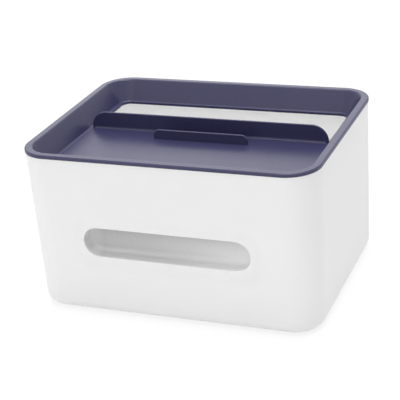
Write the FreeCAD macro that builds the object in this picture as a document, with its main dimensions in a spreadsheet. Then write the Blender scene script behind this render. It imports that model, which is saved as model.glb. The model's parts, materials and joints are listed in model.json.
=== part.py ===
import FreeCAD, Part
import math
import os
import Sketcher

# A desk tissue box with a pull-out front drawer and a lift-off navy top tray.
# +X runs along the length, the drawer pulls out towards -Y and +Z is up.
# The origin is on the surface that the feet stand on, under the middle of the box.

os.makedirs("parts", exist_ok=True)
doc = FreeCAD.newDocument("TissueBox")

# The driving sizes. Each one is a row of the sheet under its own name.
sizes = {
    # Casing and tray outline
    "rim_length": 260,  # tray rim along X
    "rim_breadth": 200,  # tray rim along Y
    "rim_corner": 27.3,  # plan radius of the rim corners
    "rim_overhang": 0.6,  # rim beyond the casing, each side
    "body_height": 145,  # underside of the casing to the top of the rim
    "base_inset": 1.9,  # draft of the casing walls at the base, each side
    "bottom_round": 8.5,  # radius of the casing's bottom edge
    "plinth_rise": 1,  # upright wall between the bottom rounding and the draft
    "wall": 2.6,  # casing and drawer front wall
    "foot_stand": 1,  # how far the feet stand out of the casing
    # Tray
    "rim_band": 3,  # height of the rim's outer band
    "rim_edge": 1.2,  # radius of the rim's outer edge
    "rim_width": 6.6,  # width of the rim's flat top before rounding
    "rim_round": 2.2,  # radius of the rim's inner edge
    "tray_depth": 18.5,  # top of the rim down to the tray floor
    "tray_lean": 10.4,  # how far the tray wall leans in from rim to floor
    "tray_skin": 2,  # thickness of the tray
    "well_round": 1.8,  # radius where the tray wall meets its floor
    "skirt_drop": 5,  # locating skirt below the rim
    "skirt_skin": 1.6,  # thickness of the locating skirt
    "upstand_front": 11.7,  # front face of the upstand, behind the middle
    "upstand_height": 15.6,  # upstand above the tray floor
    "upstand_room": 2.1,  # each end of the upstand to the foot of the tray wall
    "upstand_corner": 14.5,  # radius of the upstand's top corners
    "upstand_skin": 2,  # thickness of the upstand and the phone lip
    "lip_front": 4.6,  # front face of the phone lip, ahead of the middle
    "lip_height": 8.7,  # phone lip above the tray floor
    "lip_length": 87.6,  # phone lip along X
    "lip_corner": 5.5,  # radius of the lip's top corners
    "edge_round": 0.7,  # radius on the free edges of the lip and the upstand
    "opening_margin": 1.8,  # tray floor left behind the tissue opening
    "opening_end": 2.8,  # tray floor left at each end of the tissue opening
    "opening_bend": 8.5,  # radius of the tissue opening's rear corners
    "opening_corner": 2,  # radius of the tissue opening's front corners
    "skirt_gap": 0.4,  # locating skirt to the casing and the drawer front
    # Drawer
    "seam_gap": 0.25,  # gap between the drawer front and the casing
    "lap_reach": 3,  # rebated lap behind the seam
    "pull_length": 149,  # finger pull along X
    "pull_height": 27,  # finger pull height
    "pull_centre": 68.3,  # middle of the finger pull above the casing's underside
    "pull_depth": 12.3,  # depth of the finger pull
    "pull_round": 3.2,  # radius at the back of the finger pull
    "box_wall": 2,  # wall of the drawer box
    "box_corner": 8,  # upright corners of the drawer box
    "box_round": 3,  # bottom edge of the drawer box
    "box_side_room": 1,  # from the flat of the casing floor in to the guide fin
    "rail_depth": 14,  # front rail of the casing along Y
    "rail_height": 11,  # front rail of the casing along Z
    "rail_room": 1.4,  # above the drawer box, below the rail
    "tab_height": 6,  # stop tabs above the drawer box
    "tab_width": 14,  # stop tabs along X
    "tab_spread": 120,  # between the middles of the stop tabs
    # Runners, divider, feet and screws
    "runner_rise": 4,  # sliding face of the runner above the casing floor
    "runner_width": 11,  # runner along X
    "fin_skin": 2,  # guide fin of the runner
    "fin_rise": 10,  # guide fin above the sliding face
    "slide_gap": 0.3,  # running clearance of the drawer
    "end_gap": 1.2,  # drawer box to the divider
    "divider_skin": 2.4,  # thickness of the divider
    "rib_skin": 2,  # casing ribs that hold the divider
    "rib_reach": 5,  # casing ribs in from the side wall
    "fit_gap": 0.2,  # clearance around parts that are fixed in place
    "foot_size": 13,  # diameter of a foot
    "foot_sink": 1.2,  # foot recess in the casing floor
    "foot_edge": 0.6,  # radius of the foot's lower edge
    "foot_side": 32,  # foot centre in from the casing's side
    "foot_end": 16,  # front foot centre behind the seam, rear one ahead of the rear wall
    "screw_size": 3,  # screw shank diameter
    "screw_head": 5.6,  # screw head diameter
    "head_height": 1.4,  # screw head height
    "screw_end": 16,  # runner screw in from the runner's end
    "screw_grip": 3.2,  # thread of a drawer front screw inside its boss
    "tip_room": 0.8,  # tip of a runner screw below the sliding face
    "slot_width": 0.8,  # driver slot in a screw head
    "boss_size": 8,  # drawer front bosses
    "boss_side": 22,  # boss centre in from the drawer box's side
    "boss_end": 16,  # boss centre in from the drawer box's top and bottom
    "screw_play": 0.1,  # radial room around a screw
}


class Size:
    # A number kept together with the sheet expression that gives it.
    def __init__(self, text, value):
        self.text = text
        self.value = value

    def __add__(self, other):
        other = as_size(other)
        return Size(f"({self.text} + {other.text})", self.value + other.value)

    def __radd__(self, other):
        return as_size(other) + self

    def __sub__(self, other):
        other = as_size(other)
        return Size(f"({self.text} - {other.text})", self.value - other.value)

    def __rsub__(self, other):
        return as_size(other) - self

    def __mul__(self, other):
        other = as_size(other)
        return Size(f"({self.text} * {other.text})", self.value * other.value)

    def __rmul__(self, other):
        return as_size(other) * self

    def __truediv__(self, other):
        other = as_size(other)
        return Size(f"({self.text} / {other.text})", self.value / other.value)

    def __neg__(self):
        return Size(f"(0 - {self.text})", -self.value)


def as_size(number):
    if isinstance(number, Size):
        return number
    return Size(str(number), float(number))


class Sheet:
    # The driving sizes, each tied to its row of the sheet.
    def __init__(self, rows):
        cells = doc.addObject("Spreadsheet::Sheet", "Sizes")
        for row, (alias, value) in enumerate(rows.items(), 1):
            cells.set(f"A{row}", alias)
            cells.set(f"B{row}", str(value))
            cells.setAlias(f"B{row}", alias)
            setattr(self, alias, Size(f"Sizes.{alias}", value))


size = Sheet(sizes)

# Levels, from the standing surface up
base_level = size.foot_stand
rim_top = base_level + size.body_height
shell_top = rim_top - size.rim_band
plinth_level = base_level + size.bottom_round + size.plinth_rise
floor_level = base_level + size.wall
tray_floor = rim_top - size.tray_depth
tray_under = tray_floor - size.tray_skin
pull_level = base_level + size.pull_centre

# Plan of the casing at its top edge
top_length = size.rim_length - 2 * size.rim_overhang
top_breadth = size.rim_breadth - 2 * size.rim_overhang
top_corner = size.rim_corner - size.rim_overhang


def draft(level):
    # How far the casing wall has come in at a level below its top edge.
    if level.value <= plinth_level.value:
        return size.base_inset
    return size.base_inset * (shell_top - level) / (shell_top - plinth_level)


front_face = -top_breadth / 2
pull_face = front_face + draft(pull_level)
seam = front_face + top_corner
seam_front = seam - size.seam_gap / 2
seam_back = seam + size.seam_gap / 2
floor_flat = top_length / 2 - size.base_inset - size.bottom_round

# Drawer box and what guides it
slide_level = floor_level + size.runner_rise
box_floor = slide_level + size.slide_gap
rail_top = tray_under - size.fit_gap
rail_low = rail_top - size.rail_height
rail_back = seam_back + size.rail_depth
box_top = rail_low - size.rail_room
runner_out = floor_flat - size.box_side_room
box_half = runner_out - size.fin_skin - size.slide_gap
divider_front = size.upstand_front
divider_back = divider_front + size.divider_skin
rib_front = divider_front - size.fit_gap - size.rib_skin
box_front = pull_face + size.pull_depth + size.wall
box_back = rib_front - size.end_gap

# Tray wall: how far it is in from the rim's outer edge at a level
foot_inset = size.rim_width + size.tray_lean
tray_half = size.rim_length / 2 - foot_inset
tray_back = size.rim_breadth / 2 - foot_inset
upstand_half = tray_half - size.upstand_room
upstand_back = size.upstand_front + size.upstand_skin

# Where the screws and feet go
runner_front = seam_back + size.lap_reach
runner_line = runner_out - size.runner_width / 2
runner_grip = size.runner_rise - size.tip_room
screw_first = runner_front + size.screw_end
screw_last = rib_front - size.screw_end
boss_x = box_half - size.boss_side
boss_low = box_floor + size.boss_end
boss_high = box_top - size.boss_end
foot_x = top_length / 2 - size.foot_side
foot_front = seam + size.foot_end
foot_back = top_breadth / 2 - top_corner - size.foot_end / 2


def bind(target, **expressions):
    for path, length in expressions.items():
        target.setExpression(path.replace("__", "."), as_size(length).text)


def plane(body, role):
    for feature in body.Origin.OriginFeatures:
        if feature.Role == role:
            return feature
    raise ValueError(role)


def new_body(name):
    return doc.addObject("PartDesign::Body", name)


def new_sketch(body, name, role, offset):
    # A sketch on one of the body's own planes, moved along that plane's normal.
    sketch = body.newObject("Sketcher::SketchObject", name)
    sketch.AttachmentSupport = [(plane(body, role), "")]
    sketch.MapMode = "FlatFace"
    bind(sketch, AttachmentOffset__Base__z=offset)
    return sketch


upright = FreeCAD.Vector(0, 0, 1)


def vector(x, y):
    return FreeCAD.Vector(x, y, 0)


def fix(sketch, kind, first, second, length):
    # One dimension from the sketch's origin, bound to the sheet.
    index = sketch.addConstraint(Sketcher.Constraint(kind, -1, 1, first, second, length.value))
    sketch.setExpression(f"Constraints[{index}]", length.text)


def rectangle(sketch, left, right, low, high):
    # An upright rectangle between four bound edges.
    corners = [vector(left.value, low.value), vector(right.value, low.value),
               vector(right.value, high.value), vector(left.value, high.value)]
    first = sketch.GeometryCount
    for index in range(4):
        sketch.addGeometry(Part.LineSegment(corners[index], corners[(index + 1) % 4]), False)
    for index in range(4):
        following = first + (index + 1) % 4
        sketch.addConstraint(Sketcher.Constraint("Coincident", first + index, 2, following, 1))
    for index in (0, 2):
        sketch.addConstraint(Sketcher.Constraint("Horizontal", first + index))
        sketch.addConstraint(Sketcher.Constraint("Vertical", first + index + 1))
    fix(sketch, "DistanceX", first, 1, left)
    fix(sketch, "DistanceY", first, 1, low)
    fix(sketch, "DistanceX", first + 2, 1, right)
    fix(sketch, "DistanceY", first + 2, 1, high)


def rounded(sketch, left, right, low, high, radii):
    # A rectangle with a radius of its own at each corner: low left, low right, high right, high left.
    # Each corner is an arc tangent to its two sides; its centre is held by two dimensions.
    first = sketch.GeometryCount
    turns = ((left, low, 1, 1), (right, low, -1, 1), (right, high, -1, -1), (left, high, 1, -1))
    centres = []
    for (edge_x, edge_y, way_x, way_y), radius in zip(turns, radii):
        centres.append((edge_x + way_x * radius, edge_y + way_y * radius, radius))
    quarter = math.pi / 2
    for turn, (centre_x, centre_y, radius) in enumerate(centres, 2):
        ring = Part.Circle(vector(centre_x.value, centre_y.value), upright, radius.value)
        sketch.addGeometry(Part.ArcOfCircle(ring, turn * quarter, (turn + 1) * quarter), False)
    for index in range(4):
        arc = sketch.Geometry[first + index]
        following = sketch.Geometry[first + (index + 1) % 4]
        sketch.addGeometry(Part.LineSegment(arc.EndPoint, following.StartPoint), False)
    for index in range(4):
        line = first + 4 + index
        sketch.addConstraint(Sketcher.Constraint("Tangent", first + index, 2, line, 1))
        sketch.addConstraint(Sketcher.Constraint("Tangent", line, 2, first + (index + 1) % 4, 1))
    for index, kind in enumerate(("Horizontal", "Vertical", "Horizontal", "Vertical")):
        sketch.addConstraint(Sketcher.Constraint(kind, first + 4 + index))
    for index, radius in enumerate(radii):
        number = sketch.addConstraint(Sketcher.Constraint("Radius", first + index, radius.value))
        sketch.setExpression(f"Constraints[{number}]", radius.text)
    fix(sketch, "DistanceX", first + 7, 1, left)
    fix(sketch, "DistanceY", first + 4, 1, low)
    fix(sketch, "DistanceX", first + 5, 1, right)
    fix(sketch, "DistanceY", first + 6, 1, high)


def stadium(sketch, centre_y, length, height):
    # A slot with full round ends, its middle on the sketch's vertical axis.
    reach = (length - height) / 2
    radius = height / 2
    right = Part.Circle(vector(reach.value, centre_y.value), upright, radius.value)
    left = Part.Circle(vector(-reach.value, centre_y.value), upright, radius.value)
    sketch.addGeometry(Part.ArcOfCircle(right, -math.pi / 2, math.pi / 2), False)
    sketch.addGeometry(Part.ArcOfCircle(left, math.pi / 2, 3 * math.pi / 2), False)
    for index in range(2):
        start = sketch.Geometry[index].EndPoint
        end = sketch.Geometry[1 - index].StartPoint
        sketch.addGeometry(Part.LineSegment(start, end), False)
        sketch.addConstraint(Sketcher.Constraint("Tangent", index, 2, 2 + index, 1))
    sketch.addConstraint(Sketcher.Constraint("Tangent", 2, 2, 1, 1))
    sketch.addConstraint(Sketcher.Constraint("Tangent", 3, 2, 0, 1))
    for index, side in enumerate((reach, -reach)):
        fix(sketch, "DistanceX", index, 3, side)
        fix(sketch, "DistanceY", index, 3, centre_y)
    number = sketch.addConstraint(Sketcher.Constraint("Radius", 0, radius.value))
    sketch.setExpression(f"Constraints[{number}]", radius.text)


def circle(sketch, centre_x, centre_y, diameter):
    ring = Part.Circle(vector(centre_x.value, centre_y.value), upright, diameter.value / 2)
    index = sketch.addGeometry(ring, False)
    fix(sketch, "DistanceX", index, 3, centre_x)
    fix(sketch, "DistanceY", index, 3, centre_y)
    number = sketch.addConstraint(Sketcher.Constraint("Diameter", index, diameter.value))
    sketch.setExpression(f"Constraints[{number}]", diameter.text)


def outline(body, level, length, breadth, corner):
    # The rounded plan of the box at one level.
    sketch = new_sketch(body, "Plan", "XY_Plane", level)
    rounded(sketch, -length / 2, length / 2, -breadth / 2, breadth / 2, [corner] * 4)
    return sketch


def loft(body, kind, name, lower, upper):
    feature = body.newObject(f"PartDesign::{kind}Loft", name)
    feature.Profile = lower
    feature.Sections = [upper]
    feature.Ruled = True
    doc.recompute()


def pad(body, name, sketch, length, reverse=False):
    feature = body.newObject("PartDesign::Pad", name)
    feature.Profile = sketch
    feature.Reversed = reverse
    bind(feature, Length=length)
    doc.recompute()


def pocket(body, name, sketch, length, reverse=False):
    # A pocket that takes nothing away points the wrong way, so its volume is compared.
    before = body.Shape.Volume
    feature = body.newObject("PartDesign::Pocket", name)
    feature.Profile = sketch
    feature.Reversed = reverse
    bind(feature, Length=length)
    doc.recompute()
    if not body.Shape.Volume < before:
        raise ValueError(f"{name} cuts nothing")


def near(first, second):
    return abs(first - second) < 0.01


def fillet(body, name, radius, chosen):
    # Rounds the edges of the body whose bounding boxes the test picks out.
    names = []
    for index, edge in enumerate(body.Tip.Shape.Edges):
        if chosen(edge.BoundBox):
            names.append(f"Edge{index + 1}")
    if not names:
        raise ValueError(f"{name} finds no edge")
    base = body.Tip
    feature = body.newObject("PartDesign::Fillet", name)
    feature.Base = (base, names)
    bind(feature, Radius=radius)
    doc.recompute()


def at_level(level):
    return lambda box: near(box.ZMin, level.value) and near(box.ZMax, level.value)


def block_plan(body, level, inset):
    # The casing's plan at a level, set in from its outer face.
    side = draft(level) + inset
    return outline(body, level, top_length - 2 * side, top_breadth - 2 * side, top_corner - side)


def block(body, inset, low, high):
    # The casing's outer form, set in by a thickness: an upright foot with a round bottom edge,
    # and drafted walls above it.
    pad(body, "Foot", block_plan(body, low, inset), plinth_level - low)
    fillet(body, "FootRound", size.bottom_round + base_level - low, at_level(low))
    loft(body, "Additive", "Walls", block_plan(body, plinth_level, inset), block_plan(body, high, inset))


def combine(body, kind, name, tools):
    feature = body.newObject("PartDesign::Boolean", name)
    feature.Type = kind
    feature.setObjects(tools)
    doc.recompute()


def hollow(body, inset, low, high):
    # The same form, smaller, cut out of a body down to a floor.
    tool = new_body(body.Name + "Hollow")
    block(tool, inset, low, high)
    combine(body, "Cut", "Hollow", [tool])


def slab_cut(body, name, ranges):
    # Cuts the whole body away between pairs of planes across Y.
    sketch = new_sketch(body, name + "Plan", "XY_Plane", as_size(0))
    for low, high in ranges:
        rectangle(sketch, -size.rim_length, size.rim_length, low, high)
    pocket(body, name, sketch, 2 * rim_top, reverse=True)


def holes(body, name, role, offset, places, diameter, depth, reverse=False):
    sketch = new_sketch(body, name + "Plan", role, offset)
    for centre_x, centre_y in places:
        circle(sketch, centre_x, centre_y, diameter)
    pocket(body, name, sketch, depth, reverse)


over = as_size(1)
parts = {}


def finish(node, item):
    item.Label = node
    parts[node] = item


# Casing: floor, sides and back in one moulding, open at the top and the front

runner_screws_at = []
for side in (-1, 1):
    for along in (screw_first, screw_last):
        runner_screws_at.append((side * runner_line, along))
feet_at = {}
for end, along in (("front", foot_front), ("rear", foot_back)):
    feet_at[f"foot_{end}_left"] = (-foot_x, along)
    feet_at[f"foot_{end}_right"] = (foot_x, along)

shell = new_body("CasingShell")
block(shell, as_size(0), base_level, shell_top)
hollow(shell, size.wall, floor_level, shell_top + over)
slab_cut(shell, "FrontCut", [(-size.rim_breadth, seam_back)])
holes(shell, "HeadHoles", "XY_Plane", base_level, runner_screws_at,
      size.screw_head + 2 * size.screw_play, size.head_height, reverse=True)
holes(shell, "ShankHoles", "XY_Plane", base_level, runner_screws_at,
      size.screw_size + 2 * size.screw_play, size.wall + over, reverse=True)
holes(shell, "FootRecesses", "XY_Plane", base_level, feet_at.values(),
      size.foot_size + 2 * size.fit_gap, size.foot_sink, reverse=True)

# A thin tongue runs round the inside of the seam, so that no light shows through it
tongue = new_body("SeamTongue")
tongue_inset = (size.wall + size.seam_gap) / 2
block(tongue, tongue_inset, base_level + tongue_inset, shell_top)
hollow(tongue, size.wall, floor_level, shell_top + over)
slab_cut(tongue, "TongueCut", [(-size.rim_breadth, seam - size.lap_reach),
                               (seam_back + over, size.rim_breadth)])

# Two U-shaped ribs make the groove that holds the divider
ribs = new_body("DividerRibs")
block(ribs, size.wall / 2, base_level + size.wall / 2, rail_top)
rib_hollow = new_body("RibHollow")
rib_inset = size.wall + size.rib_reach
pad(rib_hollow, "RibHollowFoot", block_plan(rib_hollow, plinth_level, rib_inset),
    plinth_level - floor_level - size.rib_reach, reverse=True)
loft(rib_hollow, "Additive", "RibHollowWalls", block_plan(rib_hollow, plinth_level, rib_inset),
     block_plan(rib_hollow, rail_top + over, rib_inset))
combine(ribs, "Cut", "Hollow", [rib_hollow])
slab_cut(ribs, "RibCut", [(-size.rim_breadth, rib_front),
                          (divider_front - size.fit_gap, divider_back + size.fit_gap),
                          (divider_back + size.fit_gap + size.rib_skin, size.rim_breadth)])

# The front rail ties the two sides together above the drawer and stops its tabs
rail = new_body("FrontRail")
rail_half = top_length / 2 - draft(rail_low) - size.wall / 2
rail_plan = new_sketch(rail, "RailPlan", "XY_Plane", rail_low)
rectangle(rail_plan, -rail_half, rail_half, seam_back, rail_back)
pad(rail, "RailPad", rail_plan, size.rail_height)

combine(shell, "Fuse", "Joined", [tongue, ribs, rail])
finish("casing", shell)

# Divider: an upright panel between the drawer bay and the tissue compartment

divider = new_body("Divider")
block(divider, size.wall + size.fit_gap, floor_level, rail_top)
slab_cut(divider, "DividerCut", [(-size.rim_breadth, divider_front), (divider_back, size.rim_breadth)])
finish("bay_divider", divider)

# Drawer front: the whole front of the box, wrapped round both corners and the bottom edge

front_top = shell_top - size.seam_gap
bosses_at = []
for side in (-1, 1):
    for level in (boss_low, boss_high):
        bosses_at.append((side * boss_x, level))

face = new_body("FrontShell")
block(face, as_size(0), base_level, front_top)
hollow(face, size.wall, floor_level, front_top + over)
slab_cut(face, "RearCut", [(seam_front, size.rim_breadth)])
bulge = new_sketch(face, "PullWall", "XZ_Plane", -(pull_face + size.wall / 2))
stadium(bulge, pull_level, size.pull_length + 2 * size.wall, size.pull_height + 2 * size.wall)
pad(face, "PullWallPad", bulge, box_front - pull_face - size.wall / 2, reverse=True)
boss_plan = new_sketch(face, "Bosses", "XZ_Plane", -(pull_face + size.wall / 2))
for centre_x, level in bosses_at:
    circle(boss_plan, centre_x, level, size.boss_size)
pad(face, "BossPad", boss_plan, box_front - pull_face - size.wall / 2, reverse=True)
pull = new_sketch(face, "Pull", "XZ_Plane", -(pull_face - over))
stadium(pull, pull_level, size.pull_length, size.pull_height)
pocket(face, "PullPocket", pull, size.pull_depth + over)
pull_floor = pull_face + size.pull_depth
fillet(face, "PullRound", size.pull_round,
       lambda box: near(box.YMin, pull_floor.value) and near(box.YMax, pull_floor.value))
holes(face, "BossHoles", "XZ_Plane", -box_front, bosses_at,
      size.screw_size + 2 * size.screw_play, size.screw_grip + over, reverse=True)

# The rebate leaves room for the casing's tongue behind the seam
rebate = new_body("SeamRebate")
rebate_inset = (size.wall - size.seam_gap) / 2
block(rebate, rebate_inset, base_level + rebate_inset, front_top + over)
slab_cut(rebate, "RebateCut", [(-size.rim_breadth, seam - size.lap_reach - size.seam_gap)])

combine(face, "Cut", "Rebated", [rebate])
finish("drawer_front", face)

# Drawer box: an open tray screwed to the back of the drawer front

box = new_body("DrawerBox")
box_plan = new_sketch(box, "BoxPlan", "XY_Plane", box_floor)
rounded(box_plan, -box_half, box_half, box_front, box_back, [size.box_corner] * 4)
pad(box, "BoxPad", box_plan, box_top - box_floor)
fillet(box, "BoxRound", size.box_round, at_level(box_floor))
inner_plan = new_sketch(box, "InnerPlan", "XY_Plane", box_top)
rounded(inner_plan, -(box_half - size.box_wall), box_half - size.box_wall,
        box_front + size.box_wall, box_back - size.box_wall, [size.box_corner - size.box_wall] * 4)
pocket(box, "InnerPocket", inner_plan, box_top - box_floor - size.box_wall)
fillet(box, "InnerRound", size.box_round - size.box_wall / 2, at_level(box_floor + size.box_wall))
tab_plan = new_sketch(box, "TabPlan", "XY_Plane", box_top - over)
for side in (-1, 1):
    tab_left = (side * size.tab_spread - size.tab_width) / 2
    tab_right = (side * size.tab_spread + size.tab_width) / 2
    rectangle(tab_plan, tab_left, tab_right, box_back - size.box_wall, box_back)
pad(box, "TabPad", tab_plan, size.tab_height + over)
holes(box, "ScrewHoles", "XZ_Plane", -box_front, bosses_at,
      size.screw_size + 2 * size.screw_play, size.box_wall)
finish("drawer_box", box)

# Top tray: rim, leaning walls, floor with the tissue opening, upstand and phone lip


def tray_plan(body, level, inset):
    side = size.rim_width + size.tray_lean * (rim_top - level) / size.tray_depth - inset
    length = size.rim_length - 2 * side
    breadth = size.rim_breadth - 2 * side
    return outline(body, level, length, breadth, size.rim_corner - side)


def stand(body, name, front, half, height, corner):
    # A thin upright with rounded top corners, rooted in the tray floor.
    sketch = new_sketch(body, name + "Face", "XZ_Plane", -(front + size.upstand_skin))
    root = size.tray_skin / 2
    corners = [root / 2, root / 2, corner, corner]
    rounded(sketch, -half, half, tray_floor - root, tray_floor + height, corners)
    pad(body, name + "Pad", sketch, size.upstand_skin)
    fillet(body, name + "Edges", size.edge_round, free_edges(front, half))


def free_edges(front, half):
    # The edges of a stand's front and back faces above the tray floor.
    back = front + size.upstand_skin

    def test(box):
        flat = near(box.YMin, box.YMax)
        on_face = near(box.YMin, front.value) or near(box.YMin, back.value)
        above = box.ZMax > (tray_floor + size.tray_skin).value
        return flat and on_face and above and box.XMax < (half + over).value

    return test


tray = new_body("TopTray")
rim_plan = outline(tray, shell_top, size.rim_length, size.rim_breadth, size.rim_corner)
pad(tray, "RimPad", rim_plan, size.rim_band)
fillet(tray, "RimEdge", size.rim_edge, at_level(rim_top))

# The skirt locates the tray in the casing, and stops short of the drawer front
skirt_out = size.wall + size.skirt_gap
skirt_plan = new_sketch(tray, "SkirtPlan", "XY_Plane", shell_top)
for inset in (skirt_out, skirt_out + size.skirt_skin):
    half_x = top_length / 2 - inset
    half_y = top_breadth / 2 - inset
    rounded(skirt_plan, -half_x, half_x, -half_y, half_y, [top_corner - inset] * 4)
pad(tray, "SkirtPad", skirt_plan, size.skirt_drop, reverse=True)
skirt_end = new_sketch(tray, "SkirtEnd", "XY_Plane", shell_top)
rectangle(skirt_end, -size.rim_length, size.rim_length, -size.rim_breadth, seam_back + size.skirt_gap)
pocket(tray, "SkirtFrontCut", skirt_end, size.skirt_drop)

loft(tray, "Additive", "Bowl", tray_plan(tray, tray_under, size.tray_skin),
     tray_plan(tray, shell_top, size.tray_skin))
loft(tray, "Subtractive", "Well", tray_plan(tray, tray_floor, as_size(0)),
     tray_plan(tray, rim_top + over, as_size(0)))
inner_x = (size.rim_length - size.rim_width) / 2
inner_y = (size.rim_breadth - size.rim_width) / 2


def inner_edge(box):
    # The rim's edge over the well, which lies inside the middle of the rim's flat top.
    inside_x = box.XMin > -inner_x.value and box.XMax < inner_x.value
    inside_y = box.YMin > -inner_y.value and box.YMax < inner_y.value
    return at_level(rim_top)(box) and inside_x and inside_y


fillet(tray, "RimInner", size.rim_round, inner_edge)
fillet(tray, "WellFoot", size.well_round, at_level(tray_floor))
opening_plan = new_sketch(tray, "OpeningPlan", "XY_Plane", tray_floor)
opening_half = tray_half - size.opening_end
opening_back = tray_back - size.opening_margin
rounded(opening_plan, -opening_half, opening_half, upstand_back, opening_back,
        [size.opening_corner, size.opening_corner, size.opening_bend, size.opening_bend])
pocket(tray, "Opening", opening_plan, size.tray_skin)
stand(tray, "Upstand", size.upstand_front, upstand_half, size.upstand_height, size.upstand_corner)
stand(tray, "Lip", -size.lip_front, size.lip_length / 2, size.lip_height, size.lip_corner)
finish("top_tray", tray)

# Runners: an L-shaped strip each side, screwed down from under the casing floor

for name, side in (("left", -1), ("right", 1)):
    runner = new_body(f"Runner{name.title()}")
    strip = new_sketch(runner, "Strip", "XZ_Plane", -rib_front)
    fin = new_sketch(runner, "Fin", "XZ_Plane", -rib_front)
    strip_in = runner_out - size.runner_width
    fin_in = runner_out - size.fin_skin
    if side > 0:
        rectangle(strip, strip_in, runner_out, floor_level, slide_level)
        rectangle(fin, fin_in, runner_out, floor_level, slide_level + size.fin_rise)
    else:
        rectangle(strip, -runner_out, -strip_in, floor_level, slide_level)
        rectangle(fin, -runner_out, -fin_in, floor_level, slide_level + size.fin_rise)
    pad(runner, "StripPad", strip, rib_front - runner_front)
    pad(runner, "FinPad", fin, rib_front - runner_front)
    places = [(side * runner_line, screw_first), (side * runner_line, screw_last)]
    holes(runner, "Pilots", "XY_Plane", floor_level, places,
          size.screw_size + 2 * size.screw_play, runner_grip + size.screw_play, reverse=True)
    finish(f"runner_{name}", runner)

# Feet: four rubber discs, sunk in round recesses

for node, (centre_x, centre_y) in feet_at.items():
    foot = new_body(node.title().replace("_", ""))
    foot_plan = new_sketch(foot, "FootPlan", "XY_Plane", as_size(0))
    circle(foot_plan, centre_x, centre_y, size.foot_size)
    pad(foot, "FootPad", foot_plan, size.foot_stand + size.foot_sink)
    fillet(foot, "FootEdge", size.foot_edge, at_level(as_size(0)))
    finish(node, foot)

# Screws: flat heads with a driver slot


def screw(name, place, turn, length):
    # The head's outer face is at the place given, and the shank runs on along the turned Z axis.
    head = doc.addObject("Part::Cylinder", name + "Head")
    bind(head, Radius=size.screw_head / 2, Height=size.head_height)
    shank = doc.addObject("Part::Cylinder", name + "Shank")
    bind(shank, Radius=size.screw_size / 2, Height=length)
    blank = doc.addObject("Part::MultiFuse", name + "Blank")
    blank.Shapes = [head, shank]
    groove = doc.addObject("Part::Box", name + "Slot")
    bind(groove, Length=size.screw_head, Width=size.slot_width, Height=size.head_height / 2,
         Placement__Base__x=-size.screw_head / 2, Placement__Base__y=-size.slot_width / 2)
    whole = doc.addObject("Part::Cut", name)
    whole.Base = blank
    whole.Tool = groove
    whole.Placement.Rotation = turn
    bind(whole, Placement__Base__x=place[0], Placement__Base__y=place[1], Placement__Base__z=place[2])
    return whole


def screw_set(node, name, places, turn, length):
    group = doc.addObject("Part::Compound", name)
    links = []
    for index, place in enumerate(places):
        links.append(screw(f"{name}{index + 1}", place, turn, length))
    group.Links = links
    finish(node, group)


upward = FreeCAD.Rotation(upright, upright)
forward = FreeCAD.Rotation(upright, FreeCAD.Vector(0, -1, 0))
screw_set("runner_screws", "RunnerScrew", [(x, y, base_level) for x, y in runner_screws_at],
          upward, size.wall + runner_grip)
screw_set("drawer_front_screws", "FrontScrew",
          [(x, box_front + size.box_wall + size.head_height, level) for x, level in bosses_at],
          forward, size.head_height + size.box_wall + size.screw_grip)

# Check every object, then write each sub-part

doc.recompute()
for item in doc.Objects:
    if "Invalid" in item.State or "Error" in item.State:
        raise ValueError(f"{item.Name} failed: {item.State}")
for node, item in parts.items():
    shape = item.Shape
    if shape.isNull() or not shape.isValid():
        raise ValueError(f"{node} has no valid shape")
    shape.exportStep(f"parts/{node}.step")
    print(node, len(shape.Solids), "solid(s)", round(shape.Volume), "mm3")
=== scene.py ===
import json
import math
import bmesh
import bpy
from mathutils import Matrix, Vector


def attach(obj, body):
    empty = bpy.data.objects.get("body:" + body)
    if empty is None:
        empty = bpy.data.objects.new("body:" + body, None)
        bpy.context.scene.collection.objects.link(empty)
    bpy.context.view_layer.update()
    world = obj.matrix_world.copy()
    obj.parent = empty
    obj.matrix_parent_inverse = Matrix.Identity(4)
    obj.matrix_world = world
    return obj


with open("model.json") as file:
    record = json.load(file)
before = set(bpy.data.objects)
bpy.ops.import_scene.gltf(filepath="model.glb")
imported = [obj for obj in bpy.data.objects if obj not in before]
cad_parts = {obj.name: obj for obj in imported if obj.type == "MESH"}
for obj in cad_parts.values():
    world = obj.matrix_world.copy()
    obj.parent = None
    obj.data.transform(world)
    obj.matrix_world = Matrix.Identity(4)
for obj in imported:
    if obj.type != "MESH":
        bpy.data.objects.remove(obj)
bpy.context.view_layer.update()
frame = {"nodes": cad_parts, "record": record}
print("frame loaded")

# Camera: a long lens, low and to the right, tipped a little

cameraLook = {
    "yaw": 22.978,
    "pitch": 24.230,
    "roll": -4.868,
    "distance": 1.1222,
    "slideRight": -0.0113,
    "slideUp": 0.0628,
    "lift": 0.001,
    "forward": -0.0005,
    "focalPixels": 1229.0,
    "imagePixels": 400,
    "sensor": 36.0,
    "clipStart": 0.01,
}


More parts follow.
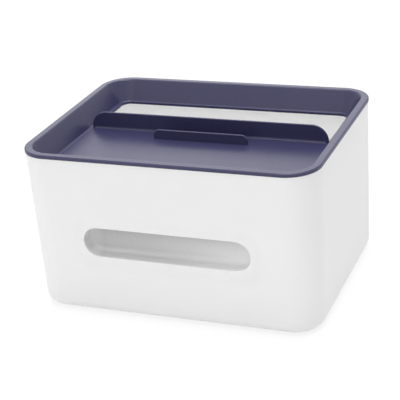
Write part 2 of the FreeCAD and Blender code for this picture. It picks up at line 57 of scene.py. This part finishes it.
def makeCamera(look):
    data = bpy.data.cameras.new("studioCamera")
    data.sensor_width = look["sensor"]
    data.lens = look["focalPixels"] / look["imagePixels"] * look["sensor"]
    data.clip_start = look["clipStart"]
    camera = bpy.data.objects.new("studioCamera", data)
    bpy.context.collection.objects.link(camera)
    yaw, pitch, roll = (math.radians(look[key]) for key in ("yaw", "pitch", "roll"))
    back = Vector((math.sin(yaw) * math.cos(pitch), -math.cos(yaw) * math.cos(pitch), math.sin(pitch)))
    level = Vector((math.cos(yaw), math.sin(yaw), 0))
    upright = back.cross(level)
    right = math.cos(roll) * level + math.sin(roll) * upright
    up = math.cos(roll) * upright - math.sin(roll) * level
    place = back * look["distance"] + right * look["slideRight"] + up * look["slideUp"]
    place += Vector((0, look["forward"], look["lift"]))
    turn = Matrix((right, up, back)).transposed().to_4x4()
    camera.matrix_world = Matrix.Translation(place) @ turn
    bpy.context.scene.camera = camera
    print("camera placed")


makeCamera(cameraLook)

# Shader graphs: sockets that take arithmetic, and one method that adds any node


class Wire:
    def __init__(self, graph, socket):
        self.graph = graph
        self.socket = socket

    def __add__(self, other):
        return self.graph.math("ADD", self, other)

    def __radd__(self, other):
        return self.graph.math("ADD", other, self)

    def __sub__(self, other):
        return self.graph.math("SUBTRACT", self, other)

    def __rsub__(self, other):
        return self.graph.math("SUBTRACT", other, self)

    def __mul__(self, other):
        return self.graph.math("MULTIPLY", self, other)

    def __rmul__(self, other):
        return self.graph.math("MULTIPLY", other, self)

    def spread(self, contrast):
        # Stretches a noise about its middle, and keeps it between 0 and 1
        return ((self - 0.5) * contrast + 0.5).clamped(0, 1)

    def clamped(self, low, high):
        return self.graph.math("MINIMUM", self.graph.math("MAXIMUM", self, low), high)


class Graph:
    def __init__(self, tree):
        self.tree = tree
        tree.nodes.clear()

    def add(self, kind, settings=None, **inputs):
        node = self.tree.nodes.new(kind)
        for key, value in (settings or {}).items():
            setattr(node, key, value)
        for key, value in inputs.items():
            self.feed(node.inputs[key.replace("_", " ")], value)
        return node

    def feed(self, socket, value):
        if isinstance(value, Wire):
            self.tree.links.new(value.socket, socket)
        else:
            socket.default_value = value

    def out(self, node, name):
        return Wire(self, node.outputs[name])

    def math(self, operation, first, second):
        node = self.tree.nodes.new("ShaderNodeMath")
        node.operation = operation
        self.feed(node.inputs[0], first)
        self.feed(node.inputs[1], second)
        return Wire(self, node.outputs[0])

    def noise(self, place, scale, detail=2.0):
        node = self.add("ShaderNodeTexNoise", Vector=place, Scale=scale, Detail=detail)
        return self.out(node, "Fac")

    def place(self):
        return self.out(self.add("ShaderNodeTexCoord"), "Object")

    def axis(self, place, name):
        return self.out(self.add("ShaderNodeSeparateXYZ", Vector=place), name)

    def stretched(self, place, factors):
        node = self.add("ShaderNodeVectorMath", {"operation": "MULTIPLY"})
        self.feed(node.inputs[0], place)
        node.inputs[1].default_value = factors
        return self.out(node, "Vector")

    def ramp(self, fac, low, high):
        # Runs from one colour to another as the wire goes from 0 to 1
        node = self.add("ShaderNodeMix", {"data_type": "RGBA"})
        self.feed(node.inputs[0], fac)
        self.feed(node.inputs[6], low)
        self.feed(node.inputs[7], high)
        return Wire(self, node.outputs[2])

    def bouncedRays(self, rays):
        # 1 for rays that come off metal or gloss, or through glass
        return self.math("MAXIMUM", self.out(rays, "Is Glossy Ray"), self.out(rays, "Is Transmission Ray"))

    def facesInward(self, place, sharpness):
        # 1 on faces that look towards the upright axis, 0 on those that look away from it
        facing = self.add("ShaderNodeVectorMath", {"operation": "DOT_PRODUCT"})
        self.feed(facing.inputs[0], self.stretched(place, (1, 1, 0)))
        self.feed(facing.inputs[1], self.out(self.add("ShaderNodeNewGeometry"), "Normal"))
        return (self.out(facing, "Value") * -sharpness).clamped(0, 1)

    def blend(self, fac, first, second):
        node = self.add("ShaderNodeMixShader")
        for socket, value in zip(node.inputs, (fac, first, second)):
            self.feed(socket, value)
        return self.out(node, "Shader")

    def finish(self, surface):
        self.add("ShaderNodeOutputMaterial", Surface=surface)


def newMaterial(name):
    material = bpy.data.materials.new(name)
    material.use_nodes = True
    return material, Graph(material.node_tree)


def rgba(colour):
    return (colour[0], colour[1], colour[2], 1.0)


def mouldedPlastic(name, look):
    # Two sizes of grain in the bump, and slow drifts in colour and gloss
    material, graph = newMaterial(name)
    place = graph.place()
    drift = graph.noise(place, look["driftScale"], 3.0)
    grain = graph.noise(place, look["grainScale"], 2.0)
    fine = graph.noise(place, look["grainScale"] * look["fineRatio"], 1.0)
    wave = graph.noise(place, look["waveScale"], 1.0)
    # Flow marks: noise drawn out upwards, so that walls show faint upright streaks
    streak = graph.noise(graph.stretched(place, (1.0, 1.0, look["streakSquash"])), look["streakScale"], 2.0)
    mix = drift * (1.0 - look["streakShare"]) + streak * look["streakShare"]
    colour = graph.ramp(mix.spread(look["contrast"]), rgba(look["colour"]), rgba(look["colourFar"]))
    rub = handRub(graph, place, look, drift)
    # Grain is worn down where hands rub
    kept = 1.0 - (rub * look["rubSpread"]).clamped(0, 1) * look["rubWear"]
    roughness = look["roughness"] + (drift - 0.5) * look["glossDrift"]
    roughness = roughness + (grain - 0.5) * kept * look["glossGrain"]
    roughness = (roughness - rub * look["rubPolish"]).clamped(*look["glossLimits"])
    relief = ((grain - 0.5) * look["coarseShare"] + (fine - 0.5) * look["fineShare"]) * kept
    bump = graph.add("ShaderNodeBump", Strength=look["grainStrength"], Distance=look["grainHeight"],
                     Height=relief)
    soft = graph.add("ShaderNodeBump", Strength=look["waveStrength"], Distance=look["waveHeight"],
                     Height=wave, Normal=graph.out(bump, "Normal"))
    normal = graph.out(soft, "Normal")
    colour = graph.ramp(rub * look["rubStain"], colour, rgba(look["stain"]))
    if look["glow"] > 0:
        # Faces that look inward get a lit copy with a brighter colour, which is painted light on the inner
        # walls, and subsurface scattering lets a thin lit wall glow a little; the inside of the pull gets
        # painted shade
        pull = window(graph, place, look["pullWindow"])
        # Painted shade and painted light inside the pull, not dirt
        pullShade = pullPaintedShade(graph, place, look, drift)
        colour = graph.ramp(pull, colour, pullShade)
        # The lit copy's brighter colour is painted light, not the plastic's own colour
        lit = plasticShader(graph, look, rgba(look["paintedLightColour"]), roughness, normal, look["glow"])
        plain = plasticShader(graph, look, colour, roughness, normal, 0.0)
        surface = graph.blend(graph.facesInward(place, look["glowEdge"]) * (1.0 - pull), plain, lit)
    else:
        surface = plasticShader(graph, look, colour, roughness, normal, 0.0)
    graph.finish(surface)
    return material


def pullPaintedShade(graph, place, look, drift):
    # Painted shade inside the pull: darkest at the upper left, lighter to the right, down the back and at
    # the left end, with painted light along the foot
    across = graph.axis(place, "X")
    upright = graph.axis(place, "Z")
    along = (across + look["pullHalf"]) * (0.5 / look["pullHalf"])
    rise = along * along
    level = ((upright * -1.0 + look["pullTop"]) * (1.0 / look["pullRise"])).clamped(0, 1)
    end = ((-1.0 * across - look["pullHalf"] + look["endReach"]) * (1.0 / look["endSoft"])).clamped(0, 1)
    foot = ((upright * -1.0 + look["pullFoot"]) * (1.0 / look["footSoft"])).clamped(0, 1)
    unshaded = rise * look["unshadedAcross"] + level * (rise * look["unshadedDown"] + look["unshadedBack"])
    unshaded = unshaded + end * look["unshadedEnd"] + (drift - 0.5) * look["unshadedDrift"]
    unshaded = unshaded + foot * (look["footPaintedLight"] - along * look["footFade"])
    return graph.ramp(unshaded.clamped(0, 1), rgba(look["pullShadeColour"]), rgba(look["pullUnshadedColour"]))


def plasticShader(graph, look, colour, roughness, normal, glow):
    shader = graph.add("ShaderNodeBsdfPrincipled", Base_Color=colour, Roughness=roughness, Normal=normal)
    shader.inputs["IOR"].default_value = look["ior"]
    shader.inputs["Subsurface Weight"].default_value = glow
    shader.inputs["Subsurface Radius"].default_value = (1.0, 1.0, 1.0)
    shader.inputs["Subsurface Scale"].default_value = look["glowReach"]
    return graph.out(shader, "BSDF")


def window(graph, place, box):
    # 1 inside a box, given as its middle, half size and soft edge, and 0 outside it
    inside = 1.0
    for axis, middle, half in zip("XYZ", box["middle"], box["half"]):
        reach = graph.math("ABSOLUTE", graph.axis(place, axis) - middle, 0.0)
        inside = ((half - reach) * (1.0 / box["edge"])).clamped(0, 1) * inside
    return inside


def handRub(graph, place, look, drift):
    # Where fingers go: soft patches with a worn, broken edge
    worn = 0.0
    for box in look["rubs"]:
        worn = graph.math("MAXIMUM", window(graph, place, box), worn)
    return (worn * (drift * look["rubContrast"] - look["rubBreak"])).clamped(0, 1)


pullRub = {"middle": (0, -0.098, 0.067), "half": (0.105, 0.030, 0.045), "edge": 0.03}
footRub = {"middle": (0, 0, 0.0), "half": (0.2, 0.2, 0.007), "edge": 0.006}
rimRub = {"middle": (0, 0, 0.146), "half": (0.2, 0.2, 0.004), "edge": 0.002}
pullWindow = {"middle": (0, -0.0905, 0.0693), "half": (0.0762, 0.0070, 0.0148), "edge": 0.0015}

shellLook = {
    "colour": (0.785, 0.786, 0.785), "colourFar": (0.798, 0.798, 0.798), "contrast": 1.4,
    "streakScale": 260.0, "streakSquash": 0.08, "streakShare": 0.25,
    "roughness": 0.3, "glossDrift": 0.08, "glossGrain": 0.05,
    "glossLimits": (0.08, 0.9), "rubs": [pullRub, footRub], "rubPolish": 0.04, "rubWear": 0.0,
    "rubSpread": 2.0, "rubContrast": 2.6, "rubBreak": 0.4, "rubStain": 0.05, "stain": (0.70, 0.695, 0.68),
    "grainScale": 1400.0, "grainStrength": 0.14, "grainHeight": 0.0001,
    "fineRatio": 3.1, "coarseShare": 0.7, "fineShare": 0.3,
    "waveScale": 42.0, "waveStrength": 0.06, "waveHeight": 0.0008,
    "driftScale": 9.0, "ior": 1.5,
    # paintedLightColour is painted light: a brighter colour only for faces that look inward
    "glow": 1.0, "glowReach": 0.016, "paintedLightColour": (0.985, 0.986, 0.98), "glowEdge": 80.0,
    "pullWindow": pullWindow, "pullTop": 0.077, "pullRise": 0.018, "pullFoot": 0.0614, "pullHalf": 0.0745,
    "endReach": 0.013, "endSoft": 0.0125, "footSoft": 0.004,
    # Painted shade in the pull: how much lighter it gets across, down, at the back, at the left end and at
    # the foot
    "unshadedAcross": 0.34, "unshadedDown": 0.52, "unshadedBack": 0.25, "unshadedEnd": 0.6, "unshadedDrift": 0.15,
    "footPaintedLight": 0.54, "footFade": 0.42,
    "pullShadeColour": (0.45, 0.45, 0.449), "pullUnshadedColour": (0.86, 0.86, 0.86),
}
innerLook = dict(shellLook, roughness=0.42, rubs=[],
                 colour=(0.775, 0.777, 0.773), colourFar=(0.79, 0.79, 0.788))
trayLook = {
    "colour": (0.0305, 0.0300, 0.085), "colourFar": (0.0405, 0.0400, 0.107), "contrast": 1.8,
    "streakScale": 420.0, "streakSquash": 0.06, "streakShare": 0.6,
    "roughness": 0.36, "glossDrift": 0.08, "glossGrain": 0.14,
    "glossLimits": (0.08, 0.9), "rubs": [rimRub], "rubPolish": 0.03, "rubWear": 0.85,
    "rubSpread": 2.0, "rubContrast": 2.6, "rubBreak": 0.4, "rubStain": 0.1, "stain": (0.05, 0.05, 0.09),
    "grainScale": 900.0, "grainStrength": 0.4, "grainHeight": 0.0002,
    "fineRatio": 3.1, "coarseShare": 0.7, "fineShare": 0.3,
    "waveScale": 60.0, "waveStrength": 0.05, "waveHeight": 0.0006,
    "driftScale": 12.0, "ior": 1.5, "glow": 0.0, "glowReach": 0.001,
}
runnerLook = dict(innerLook, colour=(0.72, 0.72, 0.7), colourFar=(0.75, 0.75, 0.73), roughness=0.38)
rubberLook = dict(trayLook, roughness=0.75, rubs=[],
                  colour=(0.012, 0.012, 0.013), colourFar=(0.02, 0.02, 0.021))
steelLook = {
    "colour": (0.55, 0.55, 0.56), "colourFar": (0.66, 0.66, 0.67), "hazeScale": 500.0,
    "roughness": 0.32, "glossDrift": 0.2,
    "scratchScale": 4000.0, "scratchStrength": 0.2, "scratchHeight": 0.00005,
}


def platedSteel(name, look):
    material, graph = newMaterial(name)
    place = graph.place()
    haze = graph.noise(place, look["hazeScale"], 3.0)
    scratch = graph.noise(place, look["scratchScale"], 2.0)
    colour = graph.ramp(haze, rgba(look["colour"]), rgba(look["colourFar"]))
    roughness = look["roughness"] + (haze - 0.5) * look["glossDrift"]
    bump = graph.add("ShaderNodeBump", Strength=look["scratchStrength"], Distance=look["scratchHeight"],
                     Height=scratch)
    shader = graph.add("ShaderNodeBsdfPrincipled", Base_Color=colour, Roughness=roughness,
                       Normal=graph.out(bump, "Normal"))
    shader.inputs["Metallic"].default_value = 1.0
    graph.finish(graph.out(shader, "BSDF"))
    return material


finishes = {
    "white_shell": mouldedPlastic("whiteShell", shellLook),
    "white_inner": mouldedPlastic("whiteInner", innerLook),
    "navy": mouldedPlastic("navyTray", trayLook),
    "runner": mouldedPlastic("waxyRunner", runnerLook),
    "rubber": mouldedPlastic("footRubber", rubberLook),
    "steel": platedSteel("platedSteel", steelLook),
}
for subpart in frame["record"]["subparts"]:
    node = frame["nodes"][subpart["node"]]
    node.data.materials.clear()
    node.data.materials.append(finishes[subpart["material_slot"]])
print("materials given to", len(frame["nodes"]), "nodes")

# A small round cove where the upstand meets the tray floor

coveLook = {
    "radius": 0.0017,
    "steps": 8,
    "sink": 0.0003,
    "floorHeight": 0.1275,
    "front": 0.0117,
    "half": 0.1086,
}


def coveProfile(look):
    # A corner piece whose outer face is hollow: x runs away from the wall, y runs down
    radius, sink, steps = look["radius"], look["sink"], look["steps"]
    points = [(-sink, sink), (-sink, -radius), (0, -radius)]
    for step in range(1, steps):
        turn = math.pi / 2 * step / steps
        points.append((radius * (1 - math.cos(turn)), -radius * (1 - math.sin(turn))))
    points += [(radius, 0), (radius, sink)]
    curve = bpy.data.curves.new("coveProfile", "CURVE")
    spline = curve.splines.new("POLY")
    spline.points.add(len(points) - 1)
    for point, (across, down) in zip(spline.points, points):
        point.co = (across, down, 0, 1)
    spline.use_cyclic_u = True
    return bpy.data.objects.new("coveProfile", curve)


def sweepTree():
    # Sweeps a profile along a path, and gives the result its finish
    tree = bpy.data.node_groups.new("sweepAlongPath", "GeometryNodeTree")
    sides = tree.interface
    sides.new_socket("Path", in_out="INPUT", socket_type="NodeSocketGeometry")
    sides.new_socket("Profile", in_out="INPUT", socket_type="NodeSocketObject")
    sides.new_socket("Finish", in_out="INPUT", socket_type="NodeSocketMaterial")
    sides.new_socket("Piece", in_out="OUTPUT", socket_type="NodeSocketGeometry")
    source = tree.nodes.new("NodeGroupInput")
    curve = tree.nodes.new("GeometryNodeMeshToCurve")
    upright = tree.nodes.new("GeometryNodeSetCurveNormal")
    upright.mode = "Z_UP"
    shape = tree.nodes.new("GeometryNodeObjectInfo")
    sweep = tree.nodes.new("GeometryNodeCurveToMesh")
    sweep.inputs["Fill Caps"].default_value = True
    real = tree.nodes.new("GeometryNodeRealizeInstances")
    finish = tree.nodes.new("GeometryNodeSetMaterial")
    result = tree.nodes.new("NodeGroupOutput")
    links = [
        (source.outputs["Path"], curve.inputs[0]),
        (curve.outputs[0], upright.inputs["Curve"]),
        (upright.outputs[0], sweep.inputs["Curve"]),
        (source.outputs["Profile"], shape.inputs["Object"]),
        (shape.outputs["Geometry"], sweep.inputs["Profile Curve"]),
        (sweep.outputs[0], real.inputs[0]),
        (real.outputs[0], finish.inputs["Geometry"]),
        (source.outputs["Finish"], finish.inputs["Material"]),
        (finish.outputs[0], result.inputs[0]),
    ]
    for first, second in links:
        tree.links.new(first, second)
    return tree


def sweepPiece(name, points, profile, finish):
    edges = [(index, index + 1) for index in range(len(points) - 1)]
    mesh = bpy.data.meshes.new(name + "Path")
    mesh.from_pydata(points, edges, [])
    path = bpy.data.objects.new(name + "Path", mesh)
    bpy.context.collection.objects.link(path)
    modifier = path.modifiers.new("sweep", "NODES")
    modifier.node_group = sweepTree()
    sockets = {item.name: item.identifier for item in modifier.node_group.interface.items_tree
               if item.in_out == "INPUT"}
    modifier[sockets["Profile"]] = profile
    modifier[sockets["Finish"]] = finish
    bpy.context.view_layer.update()
    ready = path.evaluated_get(bpy.context.evaluated_depsgraph_get())
    solid = bpy.data.meshes.new_from_object(ready)
    bpy.data.objects.remove(path)
    shape = bmesh.new()
    shape.from_mesh(solid)
    bmesh.ops.recalc_face_normals(shape, faces=shape.faces)
    shape.to_mesh(solid)
    shape.free()
    piece = bpy.data.objects.new(name, solid)
    bpy.context.collection.objects.link(piece)
    return piece


def makeCove(look):
    run = [(look["half"] * end, look["front"], look["floorHeight"]) for end in (-1, 1)]
    profile = coveProfile(look)
    bpy.context.collection.objects.link(profile)
    piece = sweepPiece("upstandCove", run, profile, finishes["navy"])
    bpy.data.objects.remove(profile)
    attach(piece, "tray")
    print("cove swept")


makeCove(coveLook)

# Studio: soft cards all round, brightest overhead and behind, above a white floor

studioLook = {
    "cards": [
        {"turn": 337, "rise": 21, "tightness": 35, "strength": 1.8},
        {"turn": 0, "rise": 90, "tightness": 60, "strength": 12.7},
        {"turn": 45, "rise": 12, "tightness": 8, "strength": 0.34},
        {"turn": 135, "rise": 12, "tightness": 8, "strength": 0.3},
        {"turn": 180, "rise": 12, "tightness": 8, "strength": 0.24},
        {"turn": 225, "rise": 12, "tightness": 8, "strength": 0.93},
        {"turn": 270, "rise": 12, "tightness": 8, "strength": 0.8},
        {"turn": 315, "rise": 12, "tightness": 8, "strength": 0.62},
        {"turn": 0, "rise": 45, "tightness": 8, "strength": 1.17},
        {"turn": 90, "rise": 45, "tightness": 8, "strength": 0.69},
        {"turn": 180, "rise": 45, "tightness": 8, "strength": 1.4},
        {"turn": 0, "rise": 82, "tightness": 25, "strength": 4.6},
    ],
    "leastFacing": 0.0001,
    "roomWhite": 1.0,
    "floorSize": 6.0,
    "floorGlow": 0.8,
    "floorColour": (0.94, 0.94, 0.94),
}


def makeWorld(look):
    world = bpy.data.worlds.new("whiteStudio")
    world.use_nodes = True
    bpy.context.scene.world = world
    graph = Graph(world.node_tree)
    rays = graph.add("ShaderNodeLightPath")
    seen = graph.out(rays, "Is Camera Ray")
    mirrored = graph.bouncedRays(rays)
    way = graph.out(graph.add("ShaderNodeTexCoord"), "Generated")
    light = 0.0
    for card in look["cards"]:
        facing = graph.add("ShaderNodeVectorMath", {"operation": "DOT_PRODUCT"})
        graph.feed(facing.inputs[0], way)
        turn, rise = math.radians(card["turn"]), math.radians(card["rise"])
        facing.inputs[1].default_value = (math.sin(turn) * math.cos(rise), math.cos(turn) * math.cos(rise),
                                          math.sin(rise))
        near = graph.out(facing, "Value").clamped(look["leastFacing"], 1)
        light = light + graph.math("POWER", near, card["tightness"]) * card["strength"]
    room = graph.math("MAXIMUM", light, look["roomWhite"])
    strength = light + seen * (1.0 - light) + mirrored * (room - light)
    sky = graph.add("ShaderNodeBackground", Color=(1, 1, 1, 1), Strength=strength)
    graph.add("ShaderNodeOutputWorld", Surface=graph.out(sky, "Background"))


def makeFloor(look):
    # Paint that shows white to the camera and in gloss, and nothing from below
    half = look["floorSize"] / 2
    corners = [(-half, -half, 0), (half, -half, 0), (half, half, 0), (-half, half, 0)]
    mesh = bpy.data.meshes.new("studioFloor")
    mesh.from_pydata(corners, [], [(0, 1, 2, 3)])
    floor = bpy.data.objects.new("studioFloor", mesh)
    bpy.context.collection.objects.link(floor)
    material, graph = newMaterial("whiteFloor")
    rays = graph.add("ShaderNodeLightPath")
    side = graph.add("ShaderNodeNewGeometry")
    paint = graph.add("ShaderNodeBsdfDiffuse", Color=rgba(look["floorColour"]))
    glow = graph.add("ShaderNodeEmission", Color=(1, 1, 1, 1))
    clear = graph.add("ShaderNodeBsdfTransparent")
    seen = graph.out(rays, "Is Camera Ray") * look["floorGlow"]
    white = graph.math("MAXIMUM", seen, graph.bouncedRays(rays))
    shown = graph.blend(white, graph.out(paint, "BSDF"), graph.out(glow, "Emission"))
    graph.finish(graph.blend(graph.out(side, "Backfacing"), shown, graph.out(clear, "BSDF")))
    mesh.materials.append(material)


makeWorld(studioLook)
makeFloor(studioLook)
bpy.context.scene.view_settings.view_transform = "Standard"
print("studio lit")
